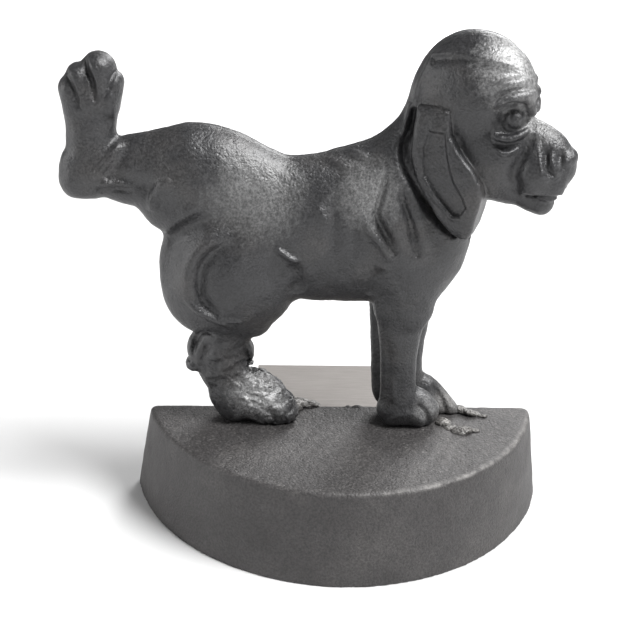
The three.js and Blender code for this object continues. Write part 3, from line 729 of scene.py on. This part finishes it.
# Painted highlights: the rim's top edge is painted pale on its right half, towards the lamp on the right, and
# the top is flecked with painted glints.
tree = base_iron.node_tree
colour_in = tree.nodes["Principled BSDF"].inputs["Base Color"]
place = next(n for n in tree.nodes if n.type == "TEX_COORD").outputs["Object"]
parts = added(tree, "ShaderNodeSeparateXYZ", Vector=place)
flat = added(tree, "ShaderNodeCombineXYZ", X=parts.outputs["X"], Y=parts.outputs["Y"])
from_centre = added(tree, "ShaderNodeVectorMath", operation="DISTANCE")
tree.links.new(flat.outputs["Vector"], from_centre.inputs[0])
from_centre.inputs[1].default_value = (0, BASE_CENTRE_Y * MM, 0)
at_rim = mapped(tree, from_centre.outputs["Value"], (BASE_RADIUS - 2.5) * MM, (BASE_RADIUS - 0.1) * MM)
high_up = mapped(tree, parts.outputs["Z"], (BASE_TOP - 1.8) * MM, (BASE_TOP - 0.4) * MM)
# Painted highlight: stronger to the right, towards the lamp on the right.
rightward = mapped(tree, parts.outputs["X"], -0.012, 0.03)
broken_up = mapped(tree, mottling(tree, place, 160.0, 5.0, 0.7), 0.4, 0.62)
rim_highlight_share = at_rim
for factor in (high_up, rightward, broken_up):
    rim_highlight_share = maths(tree, "MULTIPLY", rim_highlight_share, factor)
# Painted glints: pale flecks on the top only.
painted_glints = mapped(tree, mottling(tree, place, 950.0, 3.0, 0.6), 0.54, 0.74)
highlight_share = maths(tree, "MAXIMUM", maths(tree, "MULTIPLY", painted_glints, 0.4), rim_highlight_share)
highlight_share = maths(tree, "MULTIPLY", highlight_share, high_up)
# The pale shade laid over the base's own colour here is painted highlight.
highlighted = blended(tree, highlight_share, colour_in.links[0].from_socket, HIGHLIGHT_SHADE)
tree.links.new(highlighted, colour_in)
piece = cast("base", base_shape, (-90, -74, -2), (90, 4, BASE_TOP + 2), 0.85)
piece.data.materials.append(base_iron)
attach(piece, "root")
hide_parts("base_casting")


# The wedge: a sloping tongue of iron that slides under the door, rubbed pale by the door and the floor.
# Fine lines run along its width, and its flat tab sits in the base's slot, bored for two screws.
WEDGE_ROOT = 0.0015
TIP_NOSE = 0.0008
EDGE_ROUND = 0.0005


def wedge_piece():
    low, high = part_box("door_wedge")
    tab_top = (TAB_SLOT_TOP - GAP) * MM
    profile = [(low.y, 0), (high.y - TIP_NOSE, 0), (high.y, 0.004), (high.y - TIP_NOSE, 0.005),
               (WEDGE_ROOT, high.z), (WEDGE_ROOT, tab_top), (low.y, tab_top)]
    mesh = bpy.data.meshes.new("wedge")
    skin = bmesh.new()
    ends = [[skin.verts.new((x, y, z)) for y, z in profile] for x in (low.x, high.x)]
    skin.faces.new(ends[0])
    skin.faces.new(list(reversed(ends[1])))
    for i in range(len(profile)):
        j = (i + 1) % len(profile)
        skin.faces.new((ends[0][j], ends[0][i], ends[1][i], ends[1][j]))
    bmesh.ops.recalc_face_normals(skin, faces=skin.faces)
    bmesh.ops.bevel(skin, geom=list(skin.edges), offset=EDGE_ROUND, segments=3, profile=0.5, affect="EDGES")
    skin.to_mesh(mesh)
    skin.free()
    wedge = bpy.data.objects.new("wedge", mesh)
    bpy.context.scene.collection.objects.link(wedge)
    return wedge


def bored(piece, name):
    """The piece with one screw's hole cut up through it from below, wider for the screw's head."""
    low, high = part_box(name)
    for radius, top in ((HEAD_HOLE_RADIUS * MM, low.z + HEAD_SEAT * MM),
                        (SHANK_HOLE_RADIUS * MM, high.z + MM)):
        bit = bpy.data.meshes.new("bit")
        skin = bmesh.new()
        tall = top + 2 * MM
        at = Matrix.Translation(((low.x + high.x) / 2, (low.y + high.y) / 2, top - tall / 2))
        bmesh.ops.create_cone(skin, cap_ends=True, segments=48, radius1=radius, radius2=radius,
                              depth=tall, matrix=at)
        skin.to_mesh(bit)
        skin.free()
        drill = bpy.data.objects.new("bit", bit)
        bpy.context.scene.collection.objects.link(drill)
        cut = piece.modifiers.new("bore", "BOOLEAN")
        cut.operation, cut.object, cut.solver = "DIFFERENCE", drill, "EXACT"
        bpy.context.view_layer.update()
        made = bpy.data.meshes.new_from_object(piece.evaluated_get(bpy.context.evaluated_depsgraph_get()))
        piece.modifiers.remove(cut)
        piece.data = made
        bpy.data.objects.remove(drill)


WEDGE_SHADES = [(0.3, (0.165, 0.15, 0.14)), (0.5, (0.22, 0.203, 0.19)), (0.7, (0.28, 0.262, 0.25))]
rubbed, tree, shader, place = new_finish("rubbed_iron")
drawn_out = added(tree, "ShaderNodeMapping", Vector=place, Scale=(12, 160, 160))
lines = mottling(tree, drawn_out.outputs["Vector"], 6.0, 6.0, 0.65)
tree.links.new(ramp(tree, lines, WEDGE_SHADES), shader.inputs["Base Color"])
tree.links.new(mapped(tree, lines, 0.0, 1.0, 0.4, 0.65), shader.inputs["Roughness"])
shader.inputs["Metallic"].default_value = 0.35
relief = added(tree, "ShaderNodeBump", Height=lines, Strength=0.3, Distance=0.0004)
tree.links.new(relief.outputs["Normal"], shader.inputs["Normal"])

wedge = wedge_piece()
for name in WEDGE_SCREWS:
    bored(wedge, name)
wedge.data.materials.clear()
wedge.data.materials.append(rubbed)
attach(wedge, "root")
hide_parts("door_wedge")


# The screws: steel cheese-head screws with a slot, two through the dog and two up into the base.
# Each is a turned head and shank with a rolled thread, zinc plated and dulled.
HEAD_HIGH = 0.003
HEAD_RADIUS = 0.005
SHANK_RADIUS = 0.0021
PITCH = 0.0009
DRIVER_SLOT = (0.0012, 0.012, 0.0028)
screw_tree, asked, given = new_group(
    "cheese_head_screws", "GeometryNodeTree",
    {"Seats": "Geometry", "Shank Length": "Float", "Turn": "Vector", "Finish": "Material"},
    {"Screws": "Geometry"})
head = added(screw_tree, "GeometryNodeMeshCylinder", Vertices=48, Radius=HEAD_RADIUS, Depth=HEAD_HIGH)
head_at = added(screw_tree, "GeometryNodeTransform", Geometry=head.outputs["Mesh"],
                Translation=(0, 0, -HEAD_HIGH / 2))
slot_box = added(screw_tree, "GeometryNodeMeshCube", Size=DRIVER_SLOT)
slotted = added(screw_tree, "GeometryNodeMeshBoolean", operation="DIFFERENCE")
screw_tree.links.new(head_at.outputs["Geometry"], slotted.inputs["Mesh 1"])
screw_tree.links.new(slot_box.outputs["Mesh"], slotted.inputs["Mesh 2"])
shank = added(screw_tree, "GeometryNodeMeshCylinder", Vertices=24, Radius=SHANK_RADIUS,
              Depth=asked["Shank Length"])
half_down = maths(screw_tree, "MULTIPLY_ADD", asked["Shank Length"], -0.5, -HEAD_HIGH)
down = added(screw_tree, "ShaderNodeCombineXYZ", Z=half_down)
shank_at = added(screw_tree, "GeometryNodeTransform", Geometry=shank.outputs["Mesh"],
                 Translation=down.outputs["Vector"])
turns = maths(screw_tree, "DIVIDE", asked["Shank Length"], PITCH * 1.15)
helix = added(screw_tree, "GeometryNodeCurveSpiral", Resolution=24, Rotations=turns,
              Height=asked["Shank Length"], Start_Radius=SHANK_RADIUS, End_Radius=SHANK_RADIUS)
all_down = maths(screw_tree, "MULTIPLY_ADD", asked["Shank Length"], -1.0, -HEAD_HIGH)
foot = added(screw_tree, "ShaderNodeCombineXYZ", Z=all_down)
helix_at = added(screw_tree, "GeometryNodeTransform", Geometry=helix.outputs["Curve"],
                 Translation=foot.outputs["Vector"])
crest = added(screw_tree, "GeometryNodeCurvePrimitiveCircle", Resolution=3, Radius=PITCH * 0.42)
thread = added(screw_tree, "GeometryNodeCurveToMesh", Curve=helix_at.outputs["Geometry"],
               Profile_Curve=crest.outputs["Curve"], Fill_Caps=True)
whole = added(screw_tree, "GeometryNodeJoinGeometry")
for part in (slotted.outputs["Mesh"], shank_at.outputs["Geometry"], thread.outputs["Mesh"]):
    screw_tree.links.new(part, whole.inputs["Geometry"])
placed = added(screw_tree, "GeometryNodeInstanceOnPoints", Points=asked["Seats"],
               Instance=whole.outputs["Geometry"], Rotation=asked["Turn"])
real = added(screw_tree, "GeometryNodeRealizeInstances", Geometry=placed.outputs["Instances"])
finished = added(screw_tree, "GeometryNodeSetMaterial", Geometry=real.outputs["Geometry"],
                 Material=asked["Finish"])
screw_tree.links.new(finished.outputs["Geometry"], given["Screws"])

plated = cast_metal("plated_steel", [(0.34, 0.34, 0.33), (0.45, 0.45, 0.44)], (0.3, 0.45), 0.2, 0.08, 0.9)


def screw_set(name, nodes, axis, turn):
    """The screws that stand for these nodes, their heads at the far end of the axis given."""
    boxes = [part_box(node) for node in nodes]
    along = abs(axis) - 1
    seats = []
    for low, high in boxes:
        seat = (low + high) / 2
        seat[along] = (high if axis > 0 else low)[along]
        seats.append(seat)
    low, high = boxes[0]
    holder = bpy.data.objects.new(name, bpy.data.meshes.new(name))
    holder.data.from_pydata([tuple(s) for s in seats], [], [])
    bpy.context.scene.collection.objects.link(holder)
    maker = holder.modifiers.new("screws", "NODES")
    maker.node_group = screw_tree
    wanted = {"Shank Length": (high - low)[along] - HEAD_HIGH, "Turn": turn, "Finish": plated}
    for item in screw_tree.interface.items_tree:
        if item.in_out == "INPUT" and item.name in wanted:
            maker[item.identifier] = wanted[item.name]
    bpy.context.view_layer.update()
    made = bpy.data.meshes.new_from_object(holder.evaluated_get(bpy.context.evaluated_depsgraph_get()))
    holder.modifiers.remove(maker)
    holder.data = made
    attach(holder, "root")
    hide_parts(*nodes)


screw_set("body_screws", ["shoulder_screw", "haunch_screw"], 2, (-math.pi / 2, 0, 0))
screw_set("wedge_screws", WEDGE_SCREWS, -3, (math.pi, 0, 0))


# Braze: runs and spatters of pale filler metal at the toes, where the dog is fixed to the base.
# They froze as they fell, so they are lumpy, with a few loose scales beside them.
def braze_shape(lumps, seed):
    """Distance to the lumps (x, y, height, three half sizes, tilt), which stand on the base's top."""
    def shape(points):
        x, y, z = points.T
        skin = np.full(len(x), FAR)
        for bx, by, bz, rx, ry, rz, tilt in lumps:
            dx, dz = x - bx, z - BASE_TOP - bz
            cos, sin = math.cos(tilt), math.sin(tilt)
            away = egg_distance(dx * cos + dz * sin, y - by, dz * cos - dx * sin, rx, ry, rz)
            h = np.clip(0.5 + 0.5 * (skin - away) / 0.8, 0, 1)
            skin = skin * (1 - h) + away * h - 0.8 * h * (1 - h)
        skin = skin + 0.22 * waviness(x, y, z, 3.4, seed) + 0.16 * np.abs(waviness(x, y, z, 1.8, seed + 1))
        return rounded_cut(skin, BASE_TOP + 0.05 - z, 0.1)
    return shape


FILLER_SHADES = [(0.06, 0.055, 0.05), (0.12, 0.115, 0.11), (0.22, 0.21, 0.2)]
filler = cast_metal("filler_metal", FILLER_SHADES, (0.34, 0.5), 0.9, 0.7, 0.4)
for name, seed, lumps in (
    ("hind_paw_braze", 31, [(-19.6, -2.4, 0.8, 3.2, 3.6, 2.6, 0.3), (-15.6, 0.4, 0.8, 3.6, 3.4, 1.5, -0.35),
                            (-11.8, 0.2, 0.5, 3.4, 2.2, 1.2, -0.35), (-19, 3.6, 0.4, 2.2, 1.6, 1.2, 0)]),
    ("right_fore_paw_braze", 35, [(41, -14.4, 0.4, 3.4, 2.6, 1.7, 0), (47.6, -21, 0.3, 4.4, 2.8, 1.9, 0.1),
                                  (43.6, -18.4, 0.1, 3, 2, 1.1, 0), (52.6, -20.4, 0.1, 2.6, 1.4, 0.9, 0)]),
    ("left_fore_paw_braze", 39, [(50.4, -4.4, 0.6, 3.2, 3, 1.8, -0.3), (54.6, -7.2, 0.6, 3.8, 2.2, 1.3, -0.3),
                                 (58.6, -8.6, 0.1, 2.2, 1.2, 0.9, 0)]),
):
    spread = np.array([(x, y) for x, y, *_ in lumps])
    low = (*(spread.min(0) - 7), BASE_TOP - 1)
    high = (*(spread.max(0) + 7), BASE_TOP + 6)
    piece = cast(name + "_lumps", braze_shape(lumps, seed), low, high, 0.28)
    piece.data.materials.append(filler)
    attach(piece, "root")
    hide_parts(name)


# Studio: a wide pale floor in even white light, with soft lamps high on the right, low on the left,
# behind the dog, and over the far floor.
FLOOR_HALF = 4
floor_mesh = bpy.data.meshes.new("floor")
corners = [(-FLOOR_HALF, -FLOOR_HALF, 0), (FLOOR_HALF, -FLOOR_HALF, 0),
           (FLOOR_HALF, FLOOR_HALF, 0), (-FLOOR_HALF, FLOOR_HALF, 0)]
floor_mesh.from_pydata(corners, [], [(0, 1, 2, 3)])
floor = bpy.data.objects.new("floor", floor_mesh)
bpy.context.scene.collection.objects.link(floor)
pale = bpy.data.materials.new("pale_floor")
pale.use_nodes = True
shader = pale.node_tree.nodes["Principled BSDF"]
shader.inputs["Base Color"].default_value = (0.74, 0.74, 0.74, 1)
shader.inputs["Roughness"].default_value = 0.9
shader.inputs["Specular IOR Level"].default_value = 0.1
floor_mesh.materials.append(pale)

world = bpy.data.worlds.new("studio")
bpy.context.scene.world = world
world.use_nodes = True
world.node_tree.nodes["Background"].inputs["Color"].default_value = (1, 1, 1, 1)
world.node_tree.nodes["Background"].inputs["Strength"].default_value = 0.23
DOG_MIDDLE = (0, 0, 0.1)


def softbox(name, spot, aim, size, power, spread=180):
    """A round soft lamp that looks from its spot to its aim."""
    light = bpy.data.lights.new(name, "AREA")
    light.shape = "DISK"
    light.size = size
    light.energy = power
    light.spread = math.radians(spread)
    lamp = bpy.data.objects.new(name, light)
    bpy.context.scene.collection.objects.link(lamp)
    lamp.location = spot
    lamp.rotation_euler = (Vector(aim) - Vector(spot)).to_track_quat("-Z", "Y").to_euler()


softbox("key", (1.6, -0.62, 2.4), DOG_MIDDLE, 1.3, 135)
softbox("fill", (-1.5, -0.1, 0.45), DOG_MIDDLE, 0.9, 8)
softbox("back", (0.9, 1.9, 1.35), DOG_MIDDLE, 1.3, 38)
softbox("far_floor", (0, 2.9, 2.2), (0, 2.9, 0), 2.0, 72, 80)
bpy.context.scene.view_settings.view_transform = "Standard"

CAMERA_SPOT = (-0.0314, -0.3489, 0.2348)
PITCH_DOWN, YAW, ROLL = (math.radians(v) for v in (24.14, -3.22, 2.01))
camera_data = bpy.data.cameras.new("camera")
camera_data.sensor_width = 36
camera_data.lens = 53.6
camera = bpy.data.objects.new("camera", camera_data)
bpy.context.scene.collection.objects.link(camera)
forward = Vector((-math.sin(YAW) * math.cos(PITCH_DOWN), math.cos(YAW) * math.cos(PITCH_DOWN),
                  -math.sin(PITCH_DOWN)))
level = Vector((math.cos(YAW), math.sin(YAW), 0))
upward = level.cross(forward)
right = level * math.cos(ROLL) + upward * math.sin(ROLL)
up = -level * math.sin(ROLL) + upward * math.cos(ROLL)
turn = Matrix((right, up, -forward)).transposed().to_4x4()
camera.matrix_world = Matrix.Translation(CAMERA_SPOT) @ turn
bpy.context.scene.camera = camera
